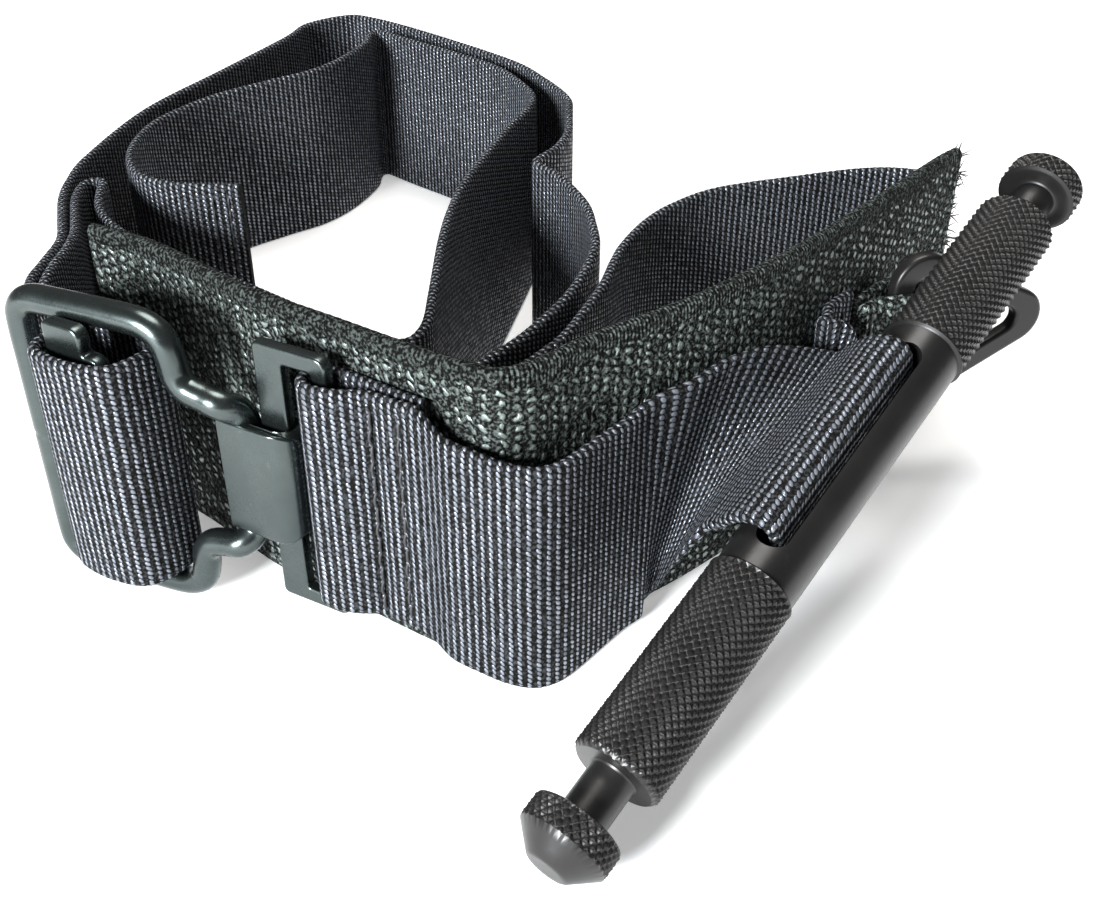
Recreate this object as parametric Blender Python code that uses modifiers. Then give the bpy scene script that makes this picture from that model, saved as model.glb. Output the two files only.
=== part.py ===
"""Windlass tourniquet with a hook buckle, standing on its webbing edges as if just set down.

All plan measures below are millimetres from the front corner of the base webbing, with X to the
right, Y away and Z up. place() turns them into metres about the centre of the object's footprint.
"""
import math

import bmesh
import bpy
import numpy as np
from mathutils import Matrix, Vector

MM = 0.001
FOOTPRINT_CENTRE = (5.25, 59.35)

# webbing
STRAP_WIDTH = 38.0
STRAP_THICK = 1.7
BASE_WIDTH = 50.0
BASE_THICK = 2.2
RING_STRAP_WIDTH = 18.0
RING_STRAP_THICK = 1.8
STRAP_MID = STRAP_WIDTH / 2
BASE_MID = BASE_WIDTH / 2
LONGEST_STEP = 4.0
FIT_GAP = 0.3
ANCHOR_MID = 19.2

# windlass
ROD_LOW_KNOB = Vector((7.5, -58.8, 6.85))
ROD_DIRECTION = Vector((80.6, 95.9, 42.2)).normalized()
ROD_LENGTH = 140.0
ROD_RADIUS = 6.35
ROD_MIDDLE_RADIUS = 5.9
ROD_NECK_RADIUS = 3.2
ROD_END_RADIUS = 3.9
KNOB_LENGTH = 7.8
NECK_LENGTH = 6.2
HANDLE_LENGTH = 32.0
KNOB_CENTRE_OFFSET = 66.1
SLOT_LENGTH = 41.0
SLOT_WIDTH = 4.6
SLOT_OFFSET = 0.6

# buckle plane: a vertical plane in front of the base webbing
BUCKLE_ORIGIN = Vector((-34.0, -5.0, 0.0))
BUCKLE_ALONG = Vector((0.866, -0.5, 0.0)).normalized()
BUCKLE_OUT = Vector((-0.5, -0.866, 0.0)).normalized()
WIRE_RADIUS = 2.0
WIRE_MID_HEIGHT = 25.2
HOOK_FACE_OUT = 4.6
ROD_SIDE_OUT = 8.6
LEFT_ROD_ALONG = -35.3
HOOK_HEIGHT = 17.8
HOOK_THICK = 1.7

# keeper plate
KEEPER_OUT = 0.8
KEEPER_THICK = 2.0
KEEPER_HEIGHT = 44.0
KEEPER_MID_HEIGHT = 25.0
KEEPER_LEFT = 1.4
KEEPER_RIGHT = 13.8
KEEPER_SLOT = (6.2, 11.2)
KEEPER_SLOT_HEIGHT = 38.8
KEEPER_BAR_ALONG = 12.5
LOOP_RADIUS = 2.85

# slider bar
SLIDER_BACK_OUT = 9.9
SLIDER_LEFT_ALONG = -27.0
SLIDER_THICK = 2.4

# lock ring
RING_BAR = Vector((65.4, 29.2, 26.5))
RING_POINTS_TO = Vector((0.958, 0.288, 0.0)).normalized()
RING_THICK = 2.6
RING_LOOP_RADIUS = 3.5


def place(point):
    """A plan point in millimetres, as a vector in metres about the footprint's centre."""
    return Vector((point[0] - FOOTPRINT_CENTRE[0], point[1] - FOOTPRINT_CENTRE[1], point[2])) * MM


def buckle_point(along, out, height=0.0):
    """A point given along and out of the buckle plane."""
    return BUCKLE_ORIGIN + BUCKLE_ALONG * along + BUCKLE_OUT * out + Vector((0, 0, height))


def clear_scene():
    for obj in list(bpy.data.objects):
        bpy.data.objects.remove(obj)


def make_collection(name):
    collection = bpy.data.collections.new(name)
    bpy.context.scene.collection.children.link(collection)
    return collection


def make_material(name, colour, roughness, metallic=0.0):
    material = bpy.data.materials.new(name)
    material.use_nodes = True
    shader = material.node_tree.nodes["Principled BSDF"]
    shader.inputs["Base Color"].default_value = (*colour, 1.0)
    shader.inputs["Roughness"].default_value = roughness
    shader.inputs["Metallic"].default_value = metallic
    return material


def add_object(name, data, material, collection):
    obj = bpy.data.objects.new(name, data)
    obj.data.materials.append(material)
    collection.objects.link(obj)
    return obj


# ---------------------------------------------------------------- webbing

def smooth_stations(stations):
    """Catmull-Rom curve through the stations, each a centre and a width direction."""
    rows = np.array(stations, dtype=float)
    ends = [2 * rows[0] - rows[1], 2 * rows[-1] - rows[-2]]
    padded = np.vstack([ends[0], rows, ends[1]])
    samples = []
    for i in range(1, len(rows)):
        before, start, end, after = padded[i - 1:i + 3]
        span = np.linalg.norm(end[:3] - start[:3])
        for t in np.arange(0, 1, 1 / max(1, math.ceil(span / LONGEST_STEP))):
            samples.append(0.5 * (2 * start + (end - before) * t
                                  + (2 * before - 5 * start + 4 * end - after) * t ** 2
                                  + (3 * start - before - 3 * end + after) * t ** 3))
    samples.append(rows[-1])
    return np.array(samples)


def strap_station(x, y, z=STRAP_MID, lean=0.0, across=None):
    """One station of a strap: its centre and, if it doesn't stand upright, its width direction."""
    if across is None:
        across = (0.0, math.sin(math.radians(lean)), math.cos(math.radians(lean)))
        return (x, y, z, *across, 1.0)
    return (x, y, z, *Vector(across).normalized(), 0.0)


def ribbon(name, stations, width, thick, material, collection):
    """A strap lofted as a thin rectangle along its stations.

    An upright station's middle value is its lean to the left of the strap's run.
    """
    path = smooth_stations(stations)
    centres = path[:, :3]
    tangents = np.gradient(centres, axis=0)
    tangents /= np.linalg.norm(tangents, axis=1)[:, None]
    left = np.cross((0.0, 0.0, 1.0), tangents)
    left /= np.linalg.norm(left, axis=1)[:, None]
    upright = left * path[:, 4:5] + np.outer(path[:, 5], (0.0, 0.0, 1.0))
    across = upright * path[:, 6:7] + path[:, 3:6] * (1 - path[:, 6:7])
    across /= np.linalg.norm(across, axis=1)[:, None]
    facing = np.cross(tangents, across)
    facing /= np.linalg.norm(facing, axis=1)[:, None]
    corners = [(-1, -1), (1, -1), (1, 1), (-1, 1)]
    rings = [centres + across * (width / 2 * a) + facing * (thick / 2 * f) for a, f in corners]
    verts = [place(point) for section in np.stack(rings, axis=1) for point in section]
    faces = [(0, 1, 2, 3)]
    for i in range(len(path) - 1):
        for side in range(4):
            nxt = (side + 1) % 4
            faces.append((4 * i + nxt, 4 * i + side, 4 * i + 4 + side, 4 * i + 4 + nxt))
    last = 4 * (len(path) - 1)
    faces.append((last + 3, last + 2, last + 1, last))
    mesh = bpy.data.meshes.new(name)
    mesh.from_pydata(verts, [], faces)
    face_outwards(mesh)
    return add_object(name, mesh, material, collection)


def face_outwards(mesh):
    work = bmesh.new()
    work.from_mesh(mesh)
    bmesh.ops.recalc_face_normals(work, faces=work.faces)
    work.to_mesh(mesh)
    work.free()


def arc(centre, radius, start, end, count):
    """Points of an arc in degrees about a centre, in whatever plane the two values mean."""
    angles = [math.radians(start + (end - start) * i / (count - 1)) for i in range(count)]
    return [(centre[0] + radius * math.cos(a), centre[1] + radius * math.sin(a)) for a in angles]


def buckle_stations(points, height):
    return [strap_station(*buckle_point(along, out, height)) for along, out in points]


BASE_PATH = [(-63, 25), (-53, 19), (-44, 11), (-35, 2.5), (-21.4, -7.2), (-14.9, -11.9),
             (-9.1, -15.9), (-4, -19), (-0.5, -20.6), (3, -19.8), (6, -17.6), (10, -14),
             (14, -10.8), (21, -6), (30, 1), (43, 13), (61, 33), (74, 48), (78.5, 52.5)]

BACK_PATH = [(-70.6, 13.6), (-72.3, 20), (-73, 28), (-74, 40), (-77.5, 52), (-81, 64),
             (-82.3, 73), (-82, 85), (-76.5, 112), (-65, 138), (-54, 163), (-50, 175),
             (-41, 182), (-34.5, 180), (-21, 168), (1, 144), (9, 130), (14, 117), (14, 108),
             (13.5, 97), (11, 88), (7.4, 82), (6.6, 80), (7.4, 78), (11, 72), (15, 60), (16, 50),
             (16, 42), (14, 33), (10.5, 23), (4, 11), (-2, 3), (-6.2, -2), (-7, -4.6),
             (-5.2, -6.6), (-2.4, -5.8), (1, -1.5), (5.5, 4), (9.5, 10), (13, 18), (16.5, 27),
             (18.7, 35), (21, 42), (25.5, 51), (31, 58), (40, 65), (55, 70), (68, 73.5),
             (76, 73.5), (81.5, 70.5), (82.6, 65), (80, 59.5), (76.4, 54.4), (72.5, 49.7),
             (67.9, 44.3), (64.5, 40.4)]

TAIL_PATH = [(-69.2, 16), (-70.2, 24), (-70.8, 32), (-72.3, 42), (-75.2, 52), (-78.2, 62),
             (-79.3, 69), (-78.8, 72), (-77.2, 73.2), (-75.6, 72), (-75.1, 68), (-73.5, 61),
             (-70, 54), (-63, 46), (-46, 32), (-28, 17), (-19, 10), (-15.5, 8.6), (-13, 9.8),
             (-11.3, 15), (-10, 24), (-9, 32), (-8, 45), (-6.8, 56), (-5, 68), (-1, 84),
             (3.3, 100), (6.2, 110), (6.5, 118), (4.5, 126), (-1.5, 138.5), (-12, 150),
             (-24, 161.5), (-29.4, 167), (-31.2, 168.4), (-32.8, 167.4), (-33.4, 164.5),
             (-34, 158), (-38.5, 146), (-44.5, 137), (-53, 130), (-63.5, 120.5), (-72, 107),
             (-74.5, 95), (-73.5, 84), (-69.5, 75.5), (-63, 71), (-56, 69.5), (-49, 69.3)]
TAIL_LEAN_FROM = 19
TAIL_LEAN_TO = 28
TAIL_LEAN = 8.0
BUCKLE_STRAP_MID = 25.0


def leaning(index):
    """The tail's lean: nothing before and after the stretch at the right, smooth between."""
    if not TAIL_LEAN_FROM <= index <= TAIL_LEAN_TO:
        return 0.0
    return TAIL_LEAN * math.sin(math.pi * (index - TAIL_LEAN_FROM) / (TAIL_LEAN_TO - TAIL_LEAN_FROM))


def settling(index, last=6):
    """Height of a strap's middle: raised at the buckle, standing on the ground further on."""
    share = min(index, last) / last
    return BUCKLE_STRAP_MID + (STRAP_MID - BUCKLE_STRAP_MID) * share * share * (3 - 2 * share)


def base_webbing(material, collection):
    stations = [strap_station(x, y, BASE_MID) for x, y in BASE_PATH]
    return ribbon("base_webbing", stations, BASE_WIDTH, BASE_THICK, material, collection)


def back_webbing(material, collection):
    stations = [strap_station(x, y, settling(i)) for i, (x, y) in enumerate(BACK_PATH)]
    return ribbon("back_webbing", stations, STRAP_WIDTH, STRAP_THICK, material, collection)


def tail_webbing(material, collection):
    stations = [strap_station(x, y, settling(i), leaning(i)) for i, (x, y) in enumerate(TAIL_PATH)]
    return ribbon("tail_webbing", stations, STRAP_WIDTH, STRAP_THICK, material, collection)


def slider_webbing(material, collection):
    """The strap where it comes up behind the buckle's left rod, over the slider and back."""
    points = [(-38.4, 3.9), (-36.2, 4.3), (-33.6, 4.9), (-31.4, 6.2), (-29.9, 8.2), (-29.2, 10.4),
              (-28.9, 12), (-27.9, 13.5), (-25.8, 14.3), (-22, 14.7), (-18, 14.3), (-15.6, 13.5),
              (-14.2, 12), (-13.4, 9.4), (-13.2, 6), (-14, 3.2), (-16.4, 1.8), (-24, 1.2),
              (-33, 0.7), (-38.2, -0.1)]
    stations = buckle_stations(points, BUCKLE_STRAP_MID)
    return ribbon("slider_webbing", stations, STRAP_WIDTH, STRAP_THICK, material, collection)


def rod_point(out, up, along=0.0):
    """A point beside the windlass's middle: out from the base, up, and along the rod."""
    centre = ROD_LOW_KNOB + ROD_DIRECTION * KNOB_CENTRE_OFFSET
    return centre + ROD_OUT * out + ROD_UP * up + ROD_DIRECTION * along


def rod_frame():
    """Two directions square to the rod: one out from the base webbing, and one up."""
    away_from_base = Vector((0.73, -0.68, 0.0))
    out = (away_from_base - ROD_DIRECTION * away_from_base.dot(ROD_DIRECTION)).normalized()
    return out, out.cross(ROD_DIRECTION).normalized()


ROD_OUT, ROD_UP = rod_frame()


def front_webbing(material, collection):
    """Sewn back on itself round the keeper plate's bar, then bulging out and up to the windlass."""
    loop = arc((KEEPER_BAR_ALONG, KEEPER_OUT), LOOP_RADIUS, -90, -270, 9)
    sewn = [(28, -0.6), (24, -0.9), (20, -1.3), (16, -1.8), *loop, (16, 3.0), (20, 1.2), (24, 1.25),
            (28, 1.6)]
    stations = buckle_stations(sewn, BUCKLE_STRAP_MID)
    bulge = [(-7.2, -21.6, 21.4), (-3.4, -23.4, 20.4), (0.6, -24.9, 19.5), (4.4, -25.4, 19),
             (7.6, -24.3, 19), (10.4, -21.6, 19), (14, -17.4, 19), (18.5, -12.8, 19.4)]
    stations += [strap_station(*point) for point in bulge]
    twist = [((22.8, -9.2, 20.6), (0.14, 0.10, 0.98)), ((26.9, -5.7, 22), (0.27, 0.23, 0.93)),
             ((31, -4.7, 23.8), (0.41, 0.44, 0.80)), ((35, -4.1, 25.5), (0.54, 0.61, 0.58))]
    stations += [strap_station(*centre, across=across) for centre, across in twist]
    stations.append(strap_station(*rod_point(-12.1, -0.7), across=ROD_DIRECTION))
    return ribbon("front_webbing", stations, STRAP_WIDTH, STRAP_THICK, material, collection)


def windlass_webbing(material, collection):
    """The stretch of strap that turns with the windlass: over the rod, down its slot and back."""
    over = [(-9.9, 0.95), (-9.2, 1.6), (-7.6, 3.2), (-6.2, 4.8), (-4.4, 6.3), (-2.4, 7.2),
            (-0.6, 7.1), (0.5, 6.1), (0.8, 4.4)]
    through = [(0.6, 1.5), (0.6, -2), (0.5, -4.8), (-0.2, -6.8), (-1.8, -7.8), (-4, -7.8),
               (-5.2, -7.55)]
    stations = [strap_station(*rod_point(*point), across=ROD_DIRECTION) for point in over + through]
    return ribbon("windlass_webbing", stations, STRAP_WIDTH, STRAP_THICK, material, collection)


def anchor_webbing(material, collection):
    """The other leg, from under the windlass to where it's sewn down on the base webbing."""
    stations = [strap_station(*rod_point(-8.0, -7.4), across=ROD_DIRECTION)]
    twist = [((45.6, 0.3, 19.8), (0.53, 0.63, 0.57)), ((47.1, 5.2, 19.4), (0.38, 0.45, 0.81)),
             ((48.5, 10, 19.2), (0.18, 0.21, 0.96))]
    stations += [strap_station(*centre, across=across) for centre, across in twist]
    leg = [(49.7, 14.6), (50.9, 18.1), (53.1, 20.8), (55.1, 23)]
    stations += [strap_station(*point, ANCHOR_MID) for point in leg]
    return ribbon("anchor_webbing", stations, STRAP_WIDTH, STRAP_THICK, material, collection)


def ring_webbing(material, collection):
    """A short doubled tab sewn to the base webbing, which holds the lock ring by its bar."""
    side = (43.0, 13.0)
    run = Vector((0.669, 0.743))
    out = Vector((0.743, -0.669))
    lay = BASE_THICK / 2 + FIT_GAP + RING_STRAP_THICK / 2

    def tab_point(along, off):
        return Vector(side) + run * along + out * off

    facing = math.degrees(math.atan2(out.y, out.x))
    loop = arc(RING_BAR[:2], RING_LOOP_RADIUS, facing + 180, facing, 9)
    points = [tab_point(16.8, lay), tab_point(20, lay), tab_point(24, lay), *loop,
              tab_point(24, 7.4), tab_point(21, 5), tab_point(18.5, 4.5), tab_point(16.8, 4.5)]
    stations = [strap_station(x, y, RING_BAR.z) for x, y in points]
    return ribbon("ring_webbing", stations, RING_STRAP_WIDTH, RING_STRAP_THICK, material, collection)


# ---------------------------------------------------------------- stitching

THREAD_RADIUS = 0.35
STITCH_PITCH = 3.0
STITCH_SWING = 0.6


def seam(name, point, along, out, low, high, material, collection):
    """One zigzag row of thread, standing on the face of a strap."""
    count = round((high - low) / STITCH_PITCH)
    along = Vector((*along, 0)).normalized()
    out = Vector((*out, 0)).normalized()
    curve = bpy.data.curves.new(name, "CURVE")
    curve.dimensions = "3D"
    curve.bevel_depth = THREAD_RADIUS * MM
    curve.bevel_resolution = 1
    curve.use_fill_caps = True
    spline = curve.splines.new("POLY")
    spline.points.add(count)
    for i, knot in enumerate(spline.points):
        height = low + (high - low) * i / count
        swing = STITCH_SWING * (-1) ** i
        spot = Vector((*point, height)) + along * swing + out * (THREAD_RADIUS + FIT_GAP)
        knot.co = (*place(spot), 1)
    return add_object(name, curve, material, collection)


def seams(material, collection):
    """Every sewn joint: two rows at the plate loop, one at each anchor, two across the tail's hem."""
    face = STRAP_THICK / 2
    strap_low = BUCKLE_STRAP_MID - STRAP_MID + 2
    strap_high = BUCKLE_STRAP_MID + STRAP_MID - 2
    for name, along in (("seam_plate_near", 20.6), ("seam_plate_far", 25.2)):
        spot = buckle_point(along, 1.25 + face)
        seam(name, spot[:2], BUCKLE_ALONG[:2], BUCKLE_OUT[:2], strap_low, strap_high,
             material, collection)
    out = Vector((0.743, -0.669))
    run = (0.669, 0.743)
    anchor = Vector((53.1, 20.8)) + out * face
    seam("seam_anchor", anchor, run, out, 2, 36, material, collection)
    ring_low = RING_BAR.z - RING_STRAP_WIDTH / 2 + 1.5
    ring_high = RING_BAR.z + RING_STRAP_WIDTH / 2 - 1.5
    tab = Vector((43, 13)) + Vector(run) * 18.3 + out * (4.5 + RING_STRAP_THICK / 2)
    seam("seam_ring", tab, run, out, ring_low, ring_high, material, collection)
    inner = Vector((66.2, 42.3)) - out * face
    seam("seam_back", inner, run, -out, 2, 36, material, collection)
    for name, x in (("seam_hem_near", -51.5), ("seam_hem_far", -54.5)):
        seam(name, (x, 69.42 - face), (1, 0), (0, -1), 2, 36, material, collection)


# ---------------------------------------------------------------- metal parts

def flat_outline(name, outlines, thick, frame, material, collection, edge=0.35):
    """A plate: closed outlines in the frame's own X and Y, extruded and with broken edges."""
    curve = bpy.data.curves.new(name, "CURVE")
    curve.dimensions = "2D"
    curve.fill_mode = "BOTH"
    curve.extrude = thick / 2 * MM
    for outline in outlines:
        spline = curve.splines.new("POLY")
        spline.points.add(len(outline) - 1)
        for knot, (x, y) in zip(spline.points, outline):
            knot.co = (x * MM, y * MM, 0, 1)
        spline.use_cyclic_u = True
    shape = add_object(name + "_outline", curve, material, collection)
    obj = curve_to_mesh(shape, name, material, collection)
    obj.matrix_world = frame
    bevel = obj.modifiers.new("broken_edges", "BEVEL")
    bevel.width = edge * MM
    bevel.segments = 1
    bevel.limit_method = "ANGLE"
    bevel.angle_limit = math.radians(60)
    return obj


def curve_to_mesh(shape, name, material, collection):
    """A curve made a closed mesh of its own, with its caps welded on."""
    mesh = bpy.data.meshes.new_from_object(shape.evaluated_get(bpy.context.evaluated_depsgraph_get()))
    mesh.name = name
    work = bmesh.new()
    work.from_mesh(mesh)
    bmesh.ops.remove_doubles(work, verts=work.verts, dist=1e-6)
    bmesh.ops.recalc_face_normals(work, faces=work.faces)
    work.to_mesh(mesh)
    work.free()
    matrix = shape.matrix_world.copy()
    bpy.data.objects.remove(shape)
    mesh.materials.clear()
    obj = add_object(name, mesh, material, collection)
    obj.matrix_world = matrix
    return obj


def rounded(corners, radii, steps=4):
    """A polygon whose corners are rounded to the given radii."""
    outline = []
    count = len(corners)
    for i, radius in enumerate(radii):
        corner = Vector(corners[i])
        before = (Vector(corners[i - 1]) - corner).normalized()
        after = (Vector(corners[(i + 1) % count]) - corner).normalized()
        if radius == 0:
            outline.append(tuple(corner))
            continue
        half = before.angle(after) / 2
        centre = corner + (before + after).normalized() * (radius / math.sin(half))
        touch = corner + before * (radius / math.tan(half))
        first = math.atan2(*(touch - centre).yx)
        turn = math.pi - 2 * half
        sign = 1 if before.cross(after) < 0 else -1
        for k in range(steps + 1):
            angle = first + sign * turn * k / steps
            outline.append((centre.x + radius * math.cos(angle), centre.y + radius * math.sin(angle)))
    return outline


def upright_frame(origin, along, out):
    """A frame whose X runs along, Y runs up and Z runs out."""
    matrix = Matrix((along, Vector((0, 0, 1)), out)).transposed().to_4x4()
    matrix.translation = place(origin)
    return matrix


def keeper_plate(material, collection):
    """The stamped plate with one slot for the hook and the strap, on its strap bar's axis."""
    axis = buckle_point(KEEPER_BAR_ALONG, KEEPER_OUT, KEEPER_MID_HEIGHT)
    left, right = KEEPER_LEFT - KEEPER_BAR_ALONG, KEEPER_RIGHT - KEEPER_BAR_ALONG
    half = KEEPER_HEIGHT / 2
    outer = rounded([(left, -half), (right, -half), (right, half), (left, half)], [1, 1.6, 1.6, 1])
    slot_left, slot_right = (value - KEEPER_BAR_ALONG for value in KEEPER_SLOT)
    reach = KEEPER_SLOT_HEIGHT / 2
    inner = rounded([(slot_left, -reach), (slot_right, -reach), (slot_right, reach),
                     (slot_left, reach)], [0.5] * 4, 2)
    frame = upright_frame(axis, BUCKLE_ALONG, BUCKLE_OUT)
    return flat_outline("keeper_plate", [outer, inner[::-1]], KEEPER_THICK, frame, material, collection)


def wire_out(along):
    """How far the buckle's wire stands out of the buckle plane: more at the left rod."""
    return HOOK_FACE_OUT + (2 - along) * (ROD_SIDE_OUT - HOOK_FACE_OUT) / (2 - LEFT_ROD_ALONG)


WIRE_ARM = [(-0.4, 11.2), (-2.6, 12.1), (-5.2, 12.7), (-7.8, 13.5), (-9.3, 15.4), (-9.7, 18.0),
            (-10.6, 20.8), (-12.8, 22.4), (-16, 22.9), (-22, 22.95), (-28, 22.95), (-32.6, 22.7),
            (-34.8, 21), (LEFT_ROD_ALONG, 18.2), (LEFT_ROD_ALONG, 10)]


def buckle_frame(material, collection):
    """The bent wire: a tall left rod and two arms that dip in to meet the hook plate."""
    curve = bpy.data.curves.new("buckle_frame", "CURVE")
    curve.dimensions = "3D"
    curve.bevel_depth = WIRE_RADIUS * MM
    curve.bevel_resolution = 3
    curve.resolution_u = 3
    curve.render_resolution_u = 0
    curve.use_fill_caps = True
    route = WIRE_ARM + [(along, -rise) for along, rise in reversed(WIRE_ARM)]
    spline = curve.splines.new("BEZIER")
    spline.bezier_points.add(len(route) - 1)
    for knot, (along, rise) in zip(spline.bezier_points, route):
        knot.co = place(buckle_point(along, wire_out(along), WIRE_MID_HEIGHT + rise))
        knot.handle_left_type = "AUTO"
        knot.handle_right_type = "AUTO"
    return add_object("buckle_frame", curve, material, collection)


def buckle_hook(material, collection):
    """The hook plate: flat in front of the keeper's left bar, round through its slot and back."""
    front = HOOK_FACE_OUT - 0.6
    section = [(-4.2, front), (5.6, front), (6.7, front - 0.4), (7.3, front - 1.4),
               (7.35, 0.8), (7.3, -1.0), (6.7, -1.75), (5.6, -1.95), (2.6, -1.95)]
    name = "buckle_hook"
    mesh = bpy.data.meshes.new(name)
    edges = [(i, i + 1) for i in range(len(section) - 1)]
    mesh.from_pydata([(along * MM, out * MM, 0) for along, out in section], edges, [])
    obj = add_object(name, mesh, material, collection)
    frame = Matrix((BUCKLE_ALONG, BUCKLE_OUT, Vector((0, 0, -1)))).transposed().to_4x4()
    frame.translation = place(buckle_point(0, 0, WIRE_MID_HEIGHT + HOOK_HEIGHT / 2))
    obj.matrix_world = frame
    rise = obj.modifiers.new("rise", "SCREW")
    rise.axis = "Z"
    rise.angle = 0
    rise.screw_offset = HOOK_HEIGHT * MM
    rise.steps = 1
    rise.render_steps = 1
    rise.use_merge_vertices = False
    wall = obj.modifiers.new("wall", "SOLIDIFY")
    wall.thickness = HOOK_THICK * MM
    wall.offset = 0
    wall.use_even_offset = True
    edge = obj.modifiers.new("broken_edges", "BEVEL")
    edge.width = 0.3 * MM
    edge.segments = 1
    edge.limit_method = "ANGLE"
    edge.angle_limit = math.radians(60)
    return obj


def slider_bar(material, collection):
    """The flat bar that the strap folds over: a tall ear at its left, a short one at its right."""
    origin = buckle_point(SLIDER_LEFT_ALONG, SLIDER_BACK_OUT + SLIDER_THICK / 2, WIRE_MID_HEIGHT)
    corners = [(0, -22.6), (7.2, -22.6), (7.2, -18.6), (10.2, -18.6), (10.2, 18.6), (7.2, 18.6),
               (7.2, 22.6), (0, 22.6)]
    outline = rounded(corners, [1, 1.2, 0.4, 1.4, 1.4, 0.4, 1.2, 1], 3)
    frame = upright_frame(origin, BUCKLE_ALONG, BUCKLE_OUT)
    return flat_outline("slider_bar", [outline], SLIDER_THICK, frame, material, collection, 0.5)


def lock_ring(material, collection):
    """The flat three-cornered ring that holds the windlass, on its bar's axis."""
    outer = rounded([(-2, -17.8), (34, 0), (-2, 17.8)], [5.5, 5, 5.5], 6)
    inner = rounded([(2, -11.6), (25.4, 0), (2, 11.6)], [2, 2.2, 2], 4)
    out = RING_POINTS_TO.cross(Vector((0, 0, 1)))
    frame = upright_frame(RING_BAR, RING_POINTS_TO, out)
    return flat_outline("lock_ring", [outer, inner[::-1]], RING_THICK, frame, material, collection, 0.25)


def windlass_profile():
    """Radius and height from the top end down to the bottom end."""
    half = ROD_LENGTH / 2
    knob = half - KNOB_LENGTH
    handle = knob - NECK_LENGTH
    middle = handle - HANDLE_LENGTH
    upper = [(0, half), (ROD_END_RADIUS, half), (ROD_RADIUS, half - 2.6), (ROD_RADIUS, knob + 0.8),
             (ROD_RADIUS - 0.8, knob), (ROD_NECK_RADIUS, knob), (ROD_NECK_RADIUS, handle),
             (ROD_RADIUS - 0.9, handle), (ROD_RADIUS, handle - 0.9), (ROD_RADIUS, middle + 0.6),
             (ROD_MIDDLE_RADIUS, middle)]
    return upper + [(radius, -height) for radius, height in reversed(upper)]


def windlass(material, collection, cutters):
    """The turned bar with its slot, standing on its own middle, which lies on the turning axis."""
    profile = windlass_profile()
    mesh = bpy.data.meshes.new("windlass")
    edges = [(i, i + 1) for i in range(len(profile) - 1)]
    mesh.from_pydata([(radius * MM, 0, height * MM) for radius, height in profile], edges, [])
    rod = add_object("windlass", mesh, material, collection)
    lathe = rod.modifiers.new("lathe", "SCREW")
    lathe.steps = 28
    lathe.render_steps = 28
    lathe.use_merge_vertices = True
    lathe.merge_threshold = 0.00001
    frame = Matrix((ROD_OUT, ROD_UP, ROD_DIRECTION)).transposed()
    rod.matrix_world = Matrix.Translation(place(rod_point(0, 0))) @ frame.to_4x4()
    ends = SLOT_LENGTH / 2 - SLOT_WIDTH / 2
    side = SLOT_WIDTH / 2
    outline = arc((ends, 0), side, -90, 90, 7) + arc((-ends, 0), side, 90, 270, 7)
    curve = bpy.data.curves.new("slot_outline", "CURVE")
    curve.dimensions = "2D"
    curve.fill_mode = "BOTH"
    curve.extrude = 10 * MM
    spline = curve.splines.new("POLY")
    spline.points.add(len(outline) - 1)
    for knot, (x, y) in zip(spline.points, outline):
        knot.co = (x * MM, y * MM, 0, 1)
    spline.use_cyclic_u = True
    shape = add_object("slot_outline", curve, material, cutters)
    cutter = curve_to_mesh(shape, "slot_cutter", material, cutters)
    turned = Matrix((ROD_DIRECTION, ROD_OUT, ROD_UP)).transposed().to_4x4()
    turned.translation = place(rod_point(SLOT_OFFSET, 0))
    cutter.matrix_world = turned
    cutter.hide_render = True
    cutter.display_type = "WIRE"
    slot = rod.modifiers.new("slot", "BOOLEAN")
    slot.operation = "DIFFERENCE"
    slot.object = cutter
    slot.solver = "EXACT"
    return rod


def build():
    clear_scene()
    parts = make_collection("tourniquet")
    cutters = make_collection("cutters")
    nylon = make_material("black_webbing", (0.012, 0.013, 0.015), 0.8)
    rough_nylon = make_material("rough_webbing", (0.016, 0.02, 0.019), 0.9)
    thread = make_material("black_thread", (0.008, 0.008, 0.009), 0.7)
    steel = make_material("dark_steel", (0.07, 0.085, 0.085), 0.32, 1.0)
    alloy = make_material("black_alloy", (0.02, 0.018, 0.018), 0.45, 0.9)
    base_webbing(rough_nylon, parts)
    back_webbing(nylon, parts)
    tail_webbing(nylon, parts)
    slider_webbing(nylon, parts)
    front_webbing(nylon, parts)
    windlass_webbing(nylon, parts)
    anchor_webbing(nylon, parts)
    ring_webbing(rough_nylon, parts)
    seams(thread, parts)
    keeper_plate(steel, parts)
    buckle_frame(steel, parts)
    buckle_hook(steel, parts)
    slider_bar(steel, parts)
    lock_ring(alloy, parts)
    windlass(alloy, parts, cutters)


build()
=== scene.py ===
"""A windlass tourniquet: black webbing, a hook buckle with a slider, a lock ring and a knurled windlass.

Plan measures are millimetres from the front corner of the base webbing, with X to the right, Y away
and Z up. placed() turns them into metres about the footprint's centre.
"""

import math

import bpy
import numpy as np
from mathutils import Matrix, Vector


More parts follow.
